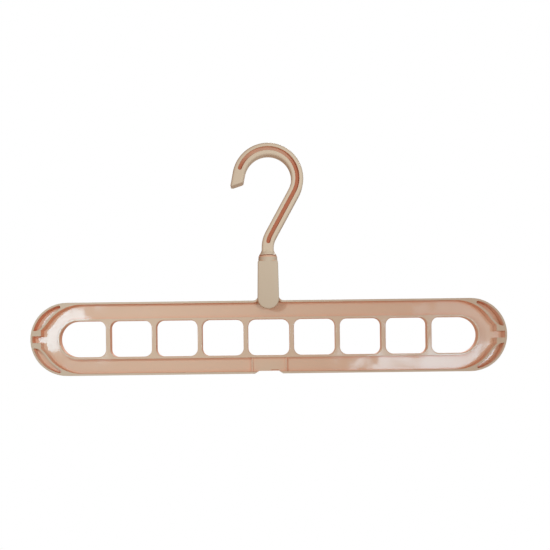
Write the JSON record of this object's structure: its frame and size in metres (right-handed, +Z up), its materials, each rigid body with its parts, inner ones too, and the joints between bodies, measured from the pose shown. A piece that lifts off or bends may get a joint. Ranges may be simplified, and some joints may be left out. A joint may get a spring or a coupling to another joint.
{
  "type": "scarf hanger",
  "caption": "Long moulded bar with a row of rounded openings for scarves, hung from a swivel hook by a forked neck that lets the bar tilt.",
  "frame": {"origin": "the point inside the hook's crown that rests on the rod, on the swivel axis and midway through the hook's depth", "axes": "+Z up along the swivel axis, +X along the bar to the picture's right, +Y away from the bar's open side (the pictured side faces -Y)"},
  "size_m": [0.355, 0.0146, 0.1722],
  "materials": {
    "moulded_plastic": "smooth semi-gloss",
    "pin_steel": "drawn"
  },
  "bodies": {
    "hook": {"hook": "moulded_plastic"},
    "neck": {"neck_front_shell": "moulded_plastic", "neck_rear_shell": "moulded_plastic", "pivot_pin": "pin_steel"},
    "bar": {"bar_frame": "moulded_plastic"}
  },
  "joints": [
    {"name": "hook_swivel", "type": "hinge", "parent": "hook", "child": "neck", "pos_m": [0, 0, -0.0752], "axis": [0, 0, 1], "continuous": true},
    {"name": "bar_tilt", "type": "hinge", "parent": "neck", "child": "bar", "pos_m": [0, 0, -0.10721], "axis": [0, 1, 0], "range_deg": [-65, 65]}
  ]
}
